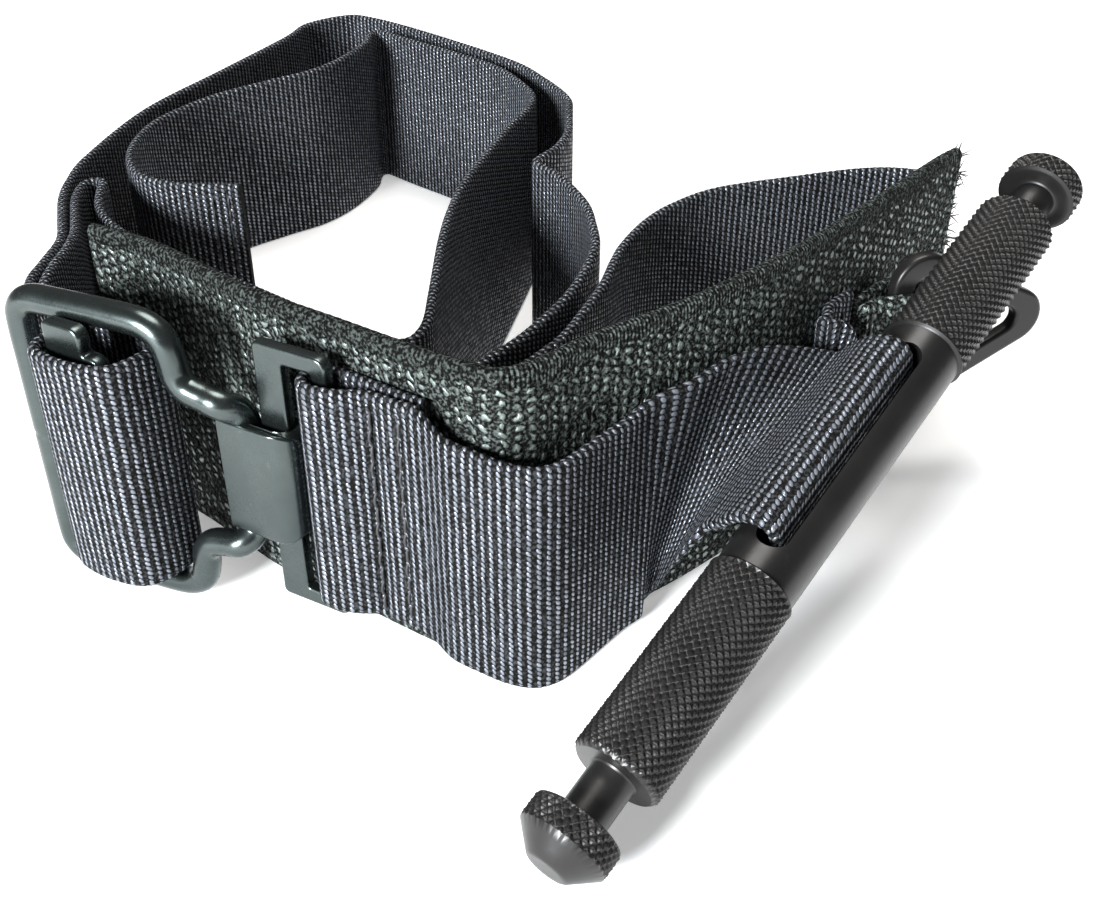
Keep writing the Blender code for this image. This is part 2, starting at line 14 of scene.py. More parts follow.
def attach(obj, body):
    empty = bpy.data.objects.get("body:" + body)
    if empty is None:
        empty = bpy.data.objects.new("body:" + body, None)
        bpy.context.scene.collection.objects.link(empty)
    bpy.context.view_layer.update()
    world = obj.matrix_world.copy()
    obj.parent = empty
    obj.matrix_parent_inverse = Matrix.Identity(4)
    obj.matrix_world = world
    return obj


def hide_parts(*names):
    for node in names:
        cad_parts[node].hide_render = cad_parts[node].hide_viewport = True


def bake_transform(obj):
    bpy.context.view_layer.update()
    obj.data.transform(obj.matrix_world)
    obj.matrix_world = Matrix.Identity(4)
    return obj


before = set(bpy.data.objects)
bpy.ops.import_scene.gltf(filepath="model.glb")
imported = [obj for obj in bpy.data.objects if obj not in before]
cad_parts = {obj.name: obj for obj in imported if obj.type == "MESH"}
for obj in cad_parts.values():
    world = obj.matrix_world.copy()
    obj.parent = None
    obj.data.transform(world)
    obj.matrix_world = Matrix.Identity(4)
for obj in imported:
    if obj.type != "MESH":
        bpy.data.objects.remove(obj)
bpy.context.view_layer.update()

MM = 0.001
FOOTPRINT_CENTRE = np.array((5.25, 59.35, 0.0))
UP = np.array((0.0, 0.0, 1.0))


def unit(rows):
    rows = np.asarray(rows, dtype=float)
    return rows / np.linalg.norm(rows, axis=-1, keepdims=True)


def placed(points):
    """Plan millimetres as metres in the part's frame."""
    return (np.asarray(points, dtype=float) - FOOTPRINT_CENTRE) * MM


# ---------------------------------------------------------------- shader arithmetic

class Shade:
    """A value in a material's node tree that takes part in plain arithmetic."""

    def __init__(self, tree, socket):
        self.tree, self.socket = tree, socket

    def node(self, kind, settings=None, inputs=None, output=0):
        """Any node: its settings first, then the values or links of its inputs."""
        made = self.tree.nodes.new(kind)
        for name, value in (settings or {}).items():
            setattr(made, name, value)
        for key, value in (inputs or {}).items():
            if isinstance(value, Shade):
                self.tree.links.new(value.socket, made.inputs[key])
            else:
                made.inputs[key].default_value = value
        return Shade(self.tree, made.outputs[output])

    def maths(self, operation, *values):
        return self.node("ShaderNodeMath", {"operation": operation}, dict(enumerate(values)))

    def __add__(self, other):
        return self.maths("ADD", self, other)

    def __radd__(self, other):
        return self.maths("ADD", other, self)

    def __sub__(self, other):
        return self.maths("SUBTRACT", self, other)

    def __rsub__(self, other):
        return self.maths("SUBTRACT", other, self)

    def __mul__(self, other):
        return self.maths("MULTIPLY", self, other)

    def __rmul__(self, other):
        return self.maths("MULTIPLY", other, self)

    def __truediv__(self, other):
        return self.maths("DIVIDE", self, other)

    def floor(self):
        return self.maths("FLOOR", self)

    def fraction(self):
        return self.maths("FRACT", self)

    def size(self):
        return self.maths("ABSOLUTE", self)

    def at_least(self, other):
        return self.maths("MAXIMUM", self, other)

    def at_most(self, other):
        return self.maths("MINIMUM", self, other)

    def above(self, edge, soft):
        """0 below the edge and 1 above it, with a soft step between."""
        return self.node("ShaderNodeMapRange", {"interpolation_type": "SMOOTHSTEP"},
                         {0: self, 1: edge - soft, 2: edge + soft})

    def tint(self, low, high):
        """A colour between two, by this value."""
        return self.node("ShaderNodeMix", {"data_type": "RGBA"},
                         {0: self, 6: (*low, 1.0), 7: (*high, 1.0)}, 2)

    def noise(self, scale, detail=2.0, roughness=0.5):
        """Smooth noise over this vector."""
        return self.node("ShaderNodeTexNoise", {},
                         {"Vector": self, "Scale": scale, "Detail": detail, "Roughness": roughness})

    def speckle(self):
        """A random value of its own for each whole-number vector."""
        return self.node("ShaderNodeTexWhiteNoise", {"noise_dimensions": "2D"}, {"Vector": self})


def start_material(name):
    """A new material, its Principled shader and a Shade to build nodes from."""
    material = bpy.data.materials.new(name)
    material.use_nodes = True
    tree = material.node_tree
    shader = tree.nodes["Principled BSDF"]
    return material, shader, Shade(tree, None)


def feed(shader, **values):
    """Links or sets the shader's sockets, whose names are written with underscores."""
    for name, value in values.items():
        socket = shader.inputs[name.replace("_", " ")]
        if isinstance(value, Shade):
            value.tree.links.new(value.socket, socket)
        else:
            socket.default_value = value


def strap_place(start):
    """Distance along and round a strap, in millimetres, from its UV map, and its object place."""
    uv = start.node("ShaderNodeUVMap", {"uv_map": "strap"})
    split = start.node("ShaderNodeSeparateXYZ", {}, {0: uv})
    along = split * (1 / MM)
    across = Shade(split.tree, split.socket.node.outputs[1]) * (1 / MM)
    place = start.node("ShaderNodeTexCoord", {}, {}, "Object")
    return along, across, place


def weave(start, along, across, pitch, reach, wobble, place):
    """Crowns of yarn in columns: each a rounded lozenge, and every second column half a step over."""
    drift = place.noise(420.0, 3.0) - 0.5
    column = along / pitch[0] + drift * wobble
    index = column.floor()
    half = (index * 0.5).fraction()
    row = across / pitch[1] + half + (place.noise(300.0, 2.0) - 0.5) * wobble
    x = column.fraction() - 0.5
    y = row.fraction() - 0.5
    x = x + y * 0.22
    crown = 1.0 - (x / reach[0]) * (x / reach[0]) - (y / reach[1]) * (y / reach[1])
    crown = crown.at_least(0.0)
    cell = start.node("ShaderNodeCombineXYZ", {}, {0: index, 1: row.floor()})
    return crown, cell.speckle()


def webbing_material(name, pitch, reach, wobble, depth, shade_colour, painted_glint_colour, missing=0.0,
                     rib_from=None):
    """Woven nylon: dark gaps, yarn crowns with painted glints in a lighter metallic colour, and loose fibres
    over it all.

    missing is the share of crowns that catch no light, and makes the rest ragged. rib_from gives the
    middle and half width, round the strap, of a woven edge band with fine ribs and no crowns.
    """
    material, shader, start = start_material(name)
    along, across, place = strap_place(start)
    crown, own = weave(start, along, across, pitch, reach, wobble, place)
    height = crown.maths("POWER", crown, 0.7) * (0.75 + own * 0.5)
    fuzz = place.noise(1500.0, 3.0, 0.6)
    ragged = crown + (fuzz - 0.5) * (0.5 + missing * 7.0)
    # Painted glints: a mask over the yarn crowns that turns them a lighter, metallic colour below.
    painted_glint_and_lint = ragged.above(0.5 + missing * 0.9, 0.25) * (0.35 + own * 0.8)
    if missing:
        painted_glint_and_lint = painted_glint_and_lint * own.above(missing, 0.1) * (fuzz.above(0.4, 0.15) * 0.7 + 0.3)
    if rib_from is not None:
        edge_middle, band = rib_from
        rib_mask = 1.0 - (across - edge_middle).size().above(band, 0.15)
        ribs = ((along / 0.62).fraction() - 0.5).size() * 2.0
        height = height * (1.0 - rib_mask) + ribs * rib_mask * 0.7
        painted_glint_and_lint = painted_glint_and_lint * (1.0 - rib_mask)
    fibre = place.noise(2600.0, 3.0, 0.7)
    height = height + fibre * 0.22
    bump = start.node("ShaderNodeBump", {}, {"Strength": 1.0, "Distance": depth * MM, "Height": height})
    # Light lint flecks, added to the painted glint mask and so coloured like the glints.
    lint = place.noise(2100.0, 2.0).above(0.56, 0.12) * (0.1 + missing)
    painted_glint_and_lint = (painted_glint_and_lint + lint).at_most(1.0)
    # The painted glint colour goes on the crowns and lint flecks; the shade colour is the nylon's own dark.
    feed(shader, Base_Color=painted_glint_and_lint.tint(shade_colour, painted_glint_colour), Roughness=0.8 - painted_glint_and_lint * 0.46,
         Metallic=painted_glint_and_lint * 0.8, Normal=bump)
    shader.inputs["Specular IOR Level"].default_value = 0.08
    return material


def thread_material():
    """Bonded sewing thread: twisted plies and a slight gloss."""
    material, shader, start = start_material("sewing_thread")
    place = start.node("ShaderNodeTexCoord", {}, {}, "Object")
    plies = place.noise(3200.0, 2.0)
    bump = start.node("ShaderNodeBump", {}, {"Strength": 0.7, "Distance": 0.08 * MM, "Height": plies})
    feed(shader, Base_Color=plies.tint((0.006, 0.006, 0.007), (0.03, 0.031, 0.034)),
         Roughness=0.42 + plies * 0.2, Normal=bump)
    return material


def metal_material(name, dark, light, roughness, metallic, grain=1400.0):
    """Finished metal: faint grain, cloudy polish and a few scuffs, on Object coordinates."""
    material, shader, start = start_material(name)
    place = start.node("ShaderNodeTexCoord", {}, {}, "Object")
    cloudy = place.noise(90.0, 4.0, 0.6)
    fine = place.noise(grain, 3.0, 0.6)
    scuff = place.noise(260.0, 6.0, 0.75).above(0.66, 0.05)
    bump = start.node("ShaderNodeBump", {},
                      {"Strength": 0.35, "Distance": 0.03 * MM, "Height": fine + scuff * 0.6})
    feed(shader, Base_Color=(cloudy * 0.8 + scuff * 0.25).at_most(1.0).tint(dark, light),
         Roughness=roughness + (cloudy - 0.5) * 0.16 + (fine - 0.5) * 0.08 + scuff * 0.08,
         Metallic=metallic, Normal=bump)
    return material


# ---------------------------------------------------------------- surfaces

def new_object(name, mesh, material):
    mesh.materials.append(material)
    obj = bpy.data.objects.new(name, mesh)
    bpy.context.scene.collection.objects.link(obj)
    return obj


def grid_object(name, points, material, along=None, around=None, inside_out=False):
    """A closed tube of a surface: rows of points down it, each row a closed loop, and flat ends.

    along and around are the UV map's distances, in metres: one for each row, and one for each point
    of a row and once more for its return to the start.
    """
    rows, loop = points.shape[:2]
    first = np.arange(rows * loop).reshape(rows, loop)
    right = np.roll(first, -1, axis=1)
    quads = np.stack([first[:-1], first[1:], right[1:], right[:-1]], axis=-1).reshape(-1, 4)
    ends = [first[0].tolist(), first[-1][::-1].tolist()]
    if inside_out:
        quads = quads[:, ::-1]
        ends = [end[::-1] for end in ends]
    mesh = bpy.data.meshes.new(name)
    mesh.from_pydata(placed(points.reshape(-1, 3)).tolist(), [], quads.tolist() + ends)
    smooth = np.ones(len(quads) + 2, dtype=bool)
    smooth[-2:] = False
    mesh.polygons.foreach_set("use_smooth", smooth)
    if along is not None:
        u = np.broadcast_to(along[:, None], (rows, loop + 1))
        v = np.broadcast_to(around[None, :], (rows, loop + 1))
        cell = np.stack([u, v], axis=-1)
        corners = np.stack([cell[:-1, :-1], cell[1:, :-1], cell[1:, 1:], cell[:-1, 1:]], axis=2)
        if inside_out:
            corners = corners[:, :, ::-1]
        caps = [cell[0, :-1], cell[-1, :-1][::-1]]
        layer = mesh.uv_layers.new(name="strap")
        layer.data.foreach_set("uv", np.concatenate([corners.reshape(-1, 2), *caps]).ravel())
    return new_object(name, mesh, material)


def smooth_path(stations, step):
    """A Catmull-Rom curve through the stations, resampled at equal steps of its length.

    Returns the length at each sample, the samples, and the length at each station.
    """
    rows = np.array(stations, dtype=float)
    padded = np.vstack([2 * rows[0] - rows[1], rows, 2 * rows[-1] - rows[-2]])
    per_span = 24
    t = np.linspace(0, 1, per_span, endpoint=False)[None, :, None]
    before, start, end, after = (padded[i:len(padded) - 3 + i, None, :] for i in range(4))
    dense = 0.5 * (2 * start + (end - before) * t + (2 * before - 5 * start + 4 * end - after) * t ** 2
                   + (3 * start - before - 3 * end + after) * t ** 3)
    dense = np.vstack([dense.reshape(-1, rows.shape[1]), rows[-1:]])
    moves = np.linalg.norm(np.diff(dense[:, :3], axis=0), axis=1)
    length = np.concatenate([[0], np.cumsum(moves)])
    samples = np.linspace(0, length[-1], max(2, int(round(length[-1] / step)) + 1))
    path = np.stack([np.interp(samples, length, column) for column in dense.T], axis=1)
    return samples, path, length[::per_span]


def strap_directions(path):
    """At each sample of a strap: its run, its width direction and the way its front faces.

    A sample holds the centre, a width direction, and how far it stands upright. An upright one's
    width direction leans to the left of the run by the sine in its second value.
    """
    run = unit(np.gradient(path[:, :3], axis=0))
    left = unit(np.cross(UP, run))
    upright = left * path[:, 4:5] + np.outer(path[:, 5], UP)
    across = unit(upright * path[:, 6:7] + path[:, 3:6] * (1 - path[:, 6:7]))
    return run, across, unit(np.cross(run, across))


def strap_section(width, thick, step):
    """A flat loop round a strap's thickness: front face, rounded edge, back face, rounded edge.

    Returns across, out, the outward direction's two parts, and the distance round, which is the
    place across on the front face.
    """
    radius = thick / 2
    flat = width / 2 - radius
    count = int(round(2 * flat / step))
    face = np.linspace(-flat, flat, count + 1)[:-1]
    turn = np.linspace(0, math.pi, 7)[:-1]
    across = np.concatenate([face, flat + radius * np.sin(turn), -face, -flat - radius * np.sin(turn)])
    out = np.concatenate([face * 0 + radius, radius * np.cos(turn), face * 0 - radius,
                          -radius * np.cos(turn)])
    side = np.concatenate([face * 0, np.sin(turn), face * 0, -np.sin(turn)])
    ahead = np.concatenate([face * 0 + 1, np.cos(turn), face * 0 - 1, -np.cos(turn)])
    steps = np.hypot(np.diff(np.append(across, across[0])), np.diff(np.append(out, out[0])))
    return across, out, side, ahead, np.concatenate([[0], np.cumsum(steps)]) - flat


class Strap:
    """One length of webbing along its stations, which pieces are cut from."""

    def __init__(self, stations, width, thick, material, step, face_step, relief=None, scallop=None):
        self.length, path, self.station_length = smooth_path(stations, step)
        self.centres = path[:, :3]
        self.run, self.across, self.facing = strap_directions(path)
        self.section = strap_section(width, thick, face_step)
        self.material, self.relief, self.scallop = material, relief, scallop

    def piece(self, name, first, last, body, replaces=()):
        """The stretch between two stations: a section swept along, its surface lifted by the relief."""
        low, high = self.station_length[[first, last]]
        low = np.searchsorted(self.length, low - 1e-6)
        high = min(np.searchsorted(self.length, high - 1e-6), len(self.length) - 1)
        rows = slice(low, high + 1)
        across, out, side, ahead, around = self.section
        along = self.length[rows]
        lift = np.zeros((len(along), len(across)))
        if self.scallop:
            pitch, height = self.scallop
            lift += height * np.abs(np.sin(math.pi * along / pitch))[:, None] * np.abs(side)[None, :] ** 2
        if self.relief:
            lift += self.relief(along[:, None], across[None, :], out[None, :])
        points = (self.centres[rows][:, None]
                  + self.across[rows][:, None] * (across + lift * side)[..., None]
                  + self.facing[rows][:, None] * (out + lift * ahead)[..., None])
        obj = grid_object(name, points, self.material, along * MM, around * MM)
        if replaces:
            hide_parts(*replaces)
        if isinstance(body, str):
            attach(obj, body)
        else:
            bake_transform(obj)


def tube(name, points, radius, material, sides=14):
    """A round bar along its points; its sections keep turning with the path and don't twist."""
    points = np.asarray(points, dtype=float)
    run = unit(np.gradient(points, axis=0))
    guide = unit(np.cross(run[0], UP if abs(run[0][2]) < 0.9 else (1.0, 0.0, 0.0)))
    sides_out = [guide]
    for step in run[1:]:
        guide = unit(guide - step * guide.dot(step))
        sides_out.append(guide)
    first = np.array(sides_out)
    second = np.cross(run, first)
    turn = np.linspace(0, 2 * math.pi, sides, endpoint=False)
    radius = np.broadcast_to(np.asarray(radius, dtype=float), (len(points),))[:, None, None]
    ring = first[:, None] * np.cos(turn)[None, :, None] + second[:, None] * np.sin(turn)[None, :, None]
    return grid_object(name, points[:, None] + ring * radius, material)


# ---------------------------------------------------------------- straps

STRAP_WIDTH = 38.0
STRAP_THICK = 1.7
BASE_WIDTH = 50.0
BASE_THICK = 2.2
TAB_WIDTH = 18.0
TAB_THICK = 1.8
STRAP_MID = STRAP_WIDTH / 2
BUCKLE_MID = 25.0
YARN_PITCH = (1.24, 0.88)
COARSE_PITCH = (1.85, 1.5)

BUCKLE_ORIGIN = np.array((-34.0, -5.0, 0.0))
BUCKLE_ALONG = unit((0.866, -0.5, 0.0))
BUCKLE_OUT = unit((-0.5, -0.866, 0.0))


def buckle_point(along, out, height=0.0):
    """A point given along and out of the buckle plane."""
    return BUCKLE_ORIGIN + BUCKLE_ALONG * along + BUCKLE_OUT * out + UP * height


ROD_DIRECTION = unit((80.6, 95.9, 42.2))
ROD_MIDDLE = np.array((7.5, -58.8, 6.85)) + ROD_DIRECTION * 66.1
AWAY = np.array((0.73, -0.68, 0.0))
ROD_OUT = unit(AWAY - ROD_DIRECTION * AWAY.dot(ROD_DIRECTION))
ROD_UP = unit(np.cross(ROD_OUT, ROD_DIRECTION))


def rod_point(out, up, along=0.0):
    """A point beside the windlass's middle: out from the base, up, and along the rod."""
    return ROD_MIDDLE + ROD_OUT * out + ROD_UP * up + ROD_DIRECTION * along


def station(point, height=STRAP_MID, lean=0.0, across=None):
    """One station of a strap: its centre, its width direction, and whether it stands upright."""
    x, y = point[:2]
    if across is None:
        return (x, y, height, 0.0, math.sin(math.radians(lean)), math.cos(math.radians(lean)), 1.0)
    return (x, y, point[2], *unit(across), 0.0)


def arc(centre, radius, start, end, count):
    angles = np.radians(np.linspace(start, end, count))
    return [(centre[0] + radius * math.cos(a), centre[1] + radius * math.sin(a)) for a in angles]


BASE_PATH = [(-63, 25), (-53, 19), (-44, 11), (-35, 2.5), (-21.4, -7.2), (-14.9, -11.9),
             (-9.1, -15.9), (-4, -19), (-0.5, -20.6), (3, -19.8), (6, -17.6), (10, -14),
             (14, -10.8), (21, -6), (30, 1), (43, 13), (61, 33), (74, 48), (78.5, 52.5)]

BACK_PATH = [(-70.6, 13.6), (-72.3, 20), (-73, 28), (-74, 40), (-77.5, 52), (-81, 64),
             (-82.3, 73), (-82, 85), (-76.5, 112), (-65, 138), (-54, 163), (-50, 175),
             (-41, 182), (-34.5, 180), (-21, 168), (1, 144), (9, 130), (14, 117), (14, 108),
             (13.5, 97), (11, 88), (7.4, 82), (6.6, 80), (7.4, 78), (11, 72), (15, 60), (16, 50),
             (16, 42), (14, 33), (10.5, 23), (4, 11), (-2, 3), (-6.2, -2), (-7, -4.6),
             (-5.2, -6.6), (-2.4, -5.8), (1, -1.5), (5.5, 4), (9.5, 10), (13, 18), (16.5, 27),
             (18.7, 35), (21, 42), (25.5, 51), (31, 58), (40, 65), (55, 70), (68, 73.5),
             (76, 73.5), (81.5, 70.5), (82.6, 65), (80, 59.5), (76.4, 54.4), (72.5, 49.7),
             (67.9, 44.3), (64.5, 40.4)]

TAIL_PATH = [(-69.2, 16), (-70.2, 24), (-70.8, 32), (-72.3, 42), (-75.2, 52), (-78.2, 62),
             (-79.3, 69), (-78.8, 72), (-77.2, 73.2), (-75.6, 72), (-75.1, 68), (-73.5, 61),
             (-70, 54), (-63, 46), (-46, 32), (-28, 17), (-19, 10), (-15.5, 8.6), (-13, 9.8),
             (-11.3, 15), (-10, 24), (-9, 32), (-8, 45), (-6.8, 56), (-5, 68), (-1, 84),
             (3.3, 100), (6.2, 110), (6.5, 118), (4.5, 126), (-1.5, 138.5), (-12, 150),
             (-24, 161.5), (-29.4, 167), (-31.2, 168.4), (-32.8, 167.4), (-33.4, 164.5),
             (-34, 158), (-38.5, 146), (-44.5, 137), (-53, 130), (-63.5, 120.5), (-72, 107),
             (-74.5, 95), (-73.5, 84), (-69.5, 75.5), (-63, 71), (-56, 69.5), (-49, 69.3)]
TAIL_LEAN_STATIONS = (19, 28)
TAIL_LEAN = 8.0

SLIDER_PATH = [(-38.4, 3.9), (-36.2, 4.3), (-33.6, 4.9), (-31.4, 6.2), (-29.9, 8.2), (-29.2, 10.4),
               (-28.9, 12), (-27.9, 13.5), (-25.8, 14.3), (-22, 14.7), (-18, 14.3), (-15.6, 13.5),
               (-14.2, 12), (-13.4, 9.4), (-13.2, 6), (-14, 3.2), (-16.4, 1.8), (-24, 1.2),
               (-33, 0.7), (-38.2, -0.1)]

FRONT_SEWN = ([(28, -0.6), (24, -0.9), (20, -1.3), (16, -1.8)] + arc((12.5, 0.8), 2.85, -90, -270, 9)
              + [(16, 3.0), (20, 1.2), (24, 1.25), (28, 1.6)])
FRONT_BULGE = [(-7.2, -21.6, 21.4), (-3.4, -23.4, 20.4), (0.6, -24.9, 19.5), (4.4, -25.4, 19),
               (7.6, -24.3, 19), (10.4, -21.6, 19), (14, -17.4, 19), (18.5, -12.8, 19.4)]
FRONT_TWIST = [((22.8, -9.2, 20.6), (0.14, 0.10, 0.98)), ((26.9, -5.7, 22), (0.27, 0.23, 0.93)),
               ((31, -4.7, 23.8), (0.41, 0.44, 0.80)), ((35, -4.1, 25.5), (0.54, 0.61, 0.58))]
ROD_TURN = [(-10.7, 0.2), (-9.2, 1.6), (-7.6, 3.2), (-6.2, 4.8), (-4.4, 6.3), (-2.4, 7.2),
            (-0.6, 7.1), (0.5, 6.1), (0.8, 4.4), (0.6, 1.5), (0.6, -2), (0.5, -4.8), (-0.2, -6.8),
            (-1.8, -7.8), (-4, -7.8), (-6.2, -7.3)]
ANCHOR_TWIST = [((45.6, 0.3, 19.8), (0.53, 0.63, 0.57)), ((47.1, 5.2, 19.4), (0.38, 0.45, 0.81)),
                ((48.5, 10, 19.2), (0.18, 0.21, 0.96))]
ANCHOR_LEG = [(49.7, 14.6), (50.9, 18.1), (53.1, 20.8), (55.1, 23)]

SEAM_PRESS = 0.35


def settling(index, last=6):
    """Height of a strap's middle: raised at the buckle, standing on the ground further on."""
    share = min(index, last) / last
    return BUCKLE_MID + (STRAP_MID - BUCKLE_MID) * share * share * (3 - 2 * share)


def leaning(index):
    first, last = TAIL_LEAN_STATIONS
    if not first <= index <= last:
        return 0.0
    return TAIL_LEAN * math.sin(math.pi * (index - first) / (last - first))


def long_strap(material):
    """The strap from its sewn end behind the base, round the coil, over the slider and to its tail."""
    back = [station(point, settling(i)) for i, point in enumerate(BACK_PATH)][::-1]
    slider = [station(buckle_point(*point), BUCKLE_MID) for point in SLIDER_PATH]
    tail = [station(point, settling(i), leaning(i)) for i, point in enumerate(TAIL_PATH)]
    strap = Strap(back + slider + tail, STRAP_WIDTH, STRAP_THICK, material, 0.45, 2.4,
                  scallop=(YARN_PITCH[0], 0.16))
    turn = len(back) - 1
    ends = turn + 1 + len(slider)

    def spot(x, y):
        return placed((x, y, 25.0)).tolist()

    strap.piece("strap_behind_base", 0, turn - 16, "webbing", ["back_webbing"])
    strap.piece("strap_outer_run", turn - 16, turn - 4, "webbing")
    strap.piece("strap_outer_leg", turn - 4, turn - 2, ("webbing", "keeper", spot(-76, 48), spot(-73.2, 30)))
    strap.piece("strap_outer_leg_front", turn - 2, turn - 1,
                ("keeper", "buckle", spot(-73, 27), spot(-72.3, 20.5)))
    strap.piece("strap_outer_to_rod", turn - 1, turn + 1,
                ("buckle", "slider", spot(-72.3, 20), spot(-70.2, 12.6)))
    strap.piece("strap_over_slider", turn + 1, ends - 1, "slider", ["slider_webbing"])
    strap.piece("strap_inner_from_slider", ends - 1, ends + 1,
                ("slider", "buckle", spot(-67, 13), spot(-70.1, 23)))
    strap.piece("strap_inner_leg_front", ends + 1, ends + 2,
                ("buckle", "keeper", spot(-70.2, 24.5), spot(-70.8, 31.5)))
    strap.piece("strap_inner_leg", ends + 2, ends + 4,
                ("keeper", "webbing", spot(-70.8, 32.5), spot(-75, 51)))
    strap.piece("strap_tail_run", ends + 4, ends + 24, "webbing", ["tail_webbing"])
    strap.piece("strap_tail_end", ends + 24, ends + len(tail) - 1, "webbing")


def working_strap(material):
    """The strap from the plate's loop, out over the bulge, over and through the windlass, and down."""
    stations = [station(buckle_point(*point), BUCKLE_MID) for point in FRONT_SEWN]
    sewn = len(stations)
    stations += [station(point, point[2]) for point in FRONT_BULGE]
    stations += [station(centre, across=across) for centre, across in FRONT_TWIST]
    rod_start = len(stations)
    stations += [station(rod_point(*point), across=ROD_DIRECTION) for point in ROD_TURN]
    rod_end = len(stations) - 1
    stations += [station(centre, across=across) for centre, across in ANCHOR_TWIST]
    stations += [station(point, 19.2) for point in ANCHOR_LEG]
    strap = Strap(stations, STRAP_WIDTH, STRAP_THICK, material, 0.4, 1.2,
                  scallop=(YARN_PITCH[0], 0.16))
    seam_spots = strap.station_length[[sewn - 3, sewn - 2]] + (0.7, 1.4)

    def pressed(along, across, out):
        """Each seam presses the strap in along a narrow soft groove."""
        groove = sum(np.exp(-((along - spot) / 1.1) ** 2) for spot in seam_spots)
        return -SEAM_PRESS * groove * (out > 0) * np.clip((STRAP_MID - 1 - np.abs(across)) / 2, 0, 1)

    strap.relief = pressed
    rod = placed(rod_point(-9.5, 0)).tolist()
    strap.piece("front_strap", 0, rod_start - 3, "webbing", ["front_webbing"])
    strap.piece("front_twist", rod_start - 3, rod_start,
                ("webbing", "windlass", placed((26.9, -5.7, 22)).tolist(), rod))
    strap.piece("rod_turn", rod_start, rod_end, "windlass", ["windlass_webbing"])
    strap.piece("anchor_twist", rod_end, rod_end + 3,
                ("windlass", "webbing", placed(rod_point(-7, -7)).tolist(),
                 placed((48.5, 10, 19.2)).tolist()))
    strap.piece("anchor_leg", rod_end + 3, len(stations) - 1, "webbing", ["anchor_webbing"])


def base_pad(material):
    """The wide coarse webbing that everything is sewn to."""
    stations = [station(point, BASE_WIDTH / 2) for point in BASE_PATH]
    strap = Strap(stations, BASE_WIDTH, BASE_THICK, material, 0.45, 1.2,
                  scallop=(COARSE_PITCH[0] / 3, 0.1))
    strap.piece("base_pad", 0, len(stations) - 1, "webbing", ["base_webbing"])
    return strap


YARN_END_COUNT = 420
YARN_END_RADIUS = 0.2
YARN_END_REACH = (0.9, 2.8)


def loose_ends(strap, material):
    """Cut yarn ends standing out of the base's raw end: thin bent spikes in no order."""
    chance = np.random.default_rng(7)
    count, sides = YARN_END_COUNT, 4
    end, run = strap.centres[-1], strap.run[-1]
    out, up = strap.facing[-1], strap.across[-1]
    feet = (end + np.outer(chance.uniform(-24.6, 24.6, count), up)
            + np.outer(chance.uniform(-0.95, 0.95, count), out) - run * 0.4)
    aim = run + np.outer(chance.normal(0, 0.35, count), out) + np.outer(chance.normal(0, 0.4, count), up)
    bend = np.outer(chance.normal(0, 0.5, count), up) + np.outer(chance.normal(0, 0.3, count), out)
    reach = chance.uniform(*YARN_END_REACH, count)[:, None]
    share = np.linspace(0, 1, 4)
    spine = feet[:, None] + aim[:, None] * (reach * share)[..., None] + (
        bend[:, None] * (reach * share ** 2)[..., None])
    turn = np.linspace(0, 2 * math.pi, sides, endpoint=False)
    ring = np.outer(np.cos(turn), out) + np.outer(np.sin(turn), up)
    radius = YARN_END_RADIUS * (1 - 0.7 * share)
    points = spine[:, :, None] + ring[None, None] * radius[None, :, None, None]
    points[..., 2] = np.maximum(points[..., 2], 0.05)
    first = np.arange(points[..., 0].size).reshape(points.shape[:3])
    right = np.roll(first, -1, axis=2)
    quads = np.stack([first[:, :-1], first[:, 1:], right[:, 1:], right[:, :-1]], axis=-1).reshape(-1, 4)
    mesh = bpy.data.meshes.new("loose_yarn_ends")
    caps = np.concatenate([first[:, 0], first[:, -1][:, ::-1]]).tolist()
    mesh.from_pydata(placed(points.reshape(-1, 3)).tolist(), [], quads.tolist() + caps)
    obj = new_object("loose_yarn_ends", mesh, material)
    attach(obj, "webbing")


RING_BAR = np.array((65.4, 29.2, 26.5))
SIDE_FROM = np.array((43.0, 13.0))
SIDE_RUN = np.array((0.669, 0.743))
SIDE_OUT = np.array((0.743, -0.669))
TAB_GAP = 0.3
TAB_LOOP_RADIUS = 3.5
TAB_OUTER_LAY = 4.5


def ring_tab(material):
    """The short doubled tab that holds the ring by its bar."""
    lay = BASE_THICK / 2 + TAB_GAP + TAB_THICK / 2
    facing = math.degrees(math.atan2(SIDE_OUT[1], SIDE_OUT[0]))
    under = [(16.8, lay), (20, lay), (24, lay)]
    over = [(24, 7.4), (21, 5), (18.5, TAB_OUTER_LAY), (16.8, TAB_OUTER_LAY)]
    points = [SIDE_FROM + SIDE_RUN * a + SIDE_OUT * o for a, o in under]
    points += arc(RING_BAR[:2], TAB_LOOP_RADIUS, facing + 180, facing, 9)
    points += [SIDE_FROM + SIDE_RUN * a + SIDE_OUT * o for a, o in over]
    stations = [station(point, RING_BAR[2]) for point in points]
    strap = Strap(stations, TAB_WIDTH, TAB_THICK, material, 0.45, 1.2, scallop=(COARSE_PITCH[0] / 3, 0.1))
    strap.piece("ring_tab", 0, len(stations) - 1, "webbing", ["ring_webbing"])


# ---------------------------------------------------------------- stitching

STITCH_LENGTH = 2.6
STITCH_RISE = 0.5
STITCH_SUNK = 0.22
STITCH_SWAY = 0.12
THREAD_RADIUS = 0.24
TAIL_END_Y = 69.42


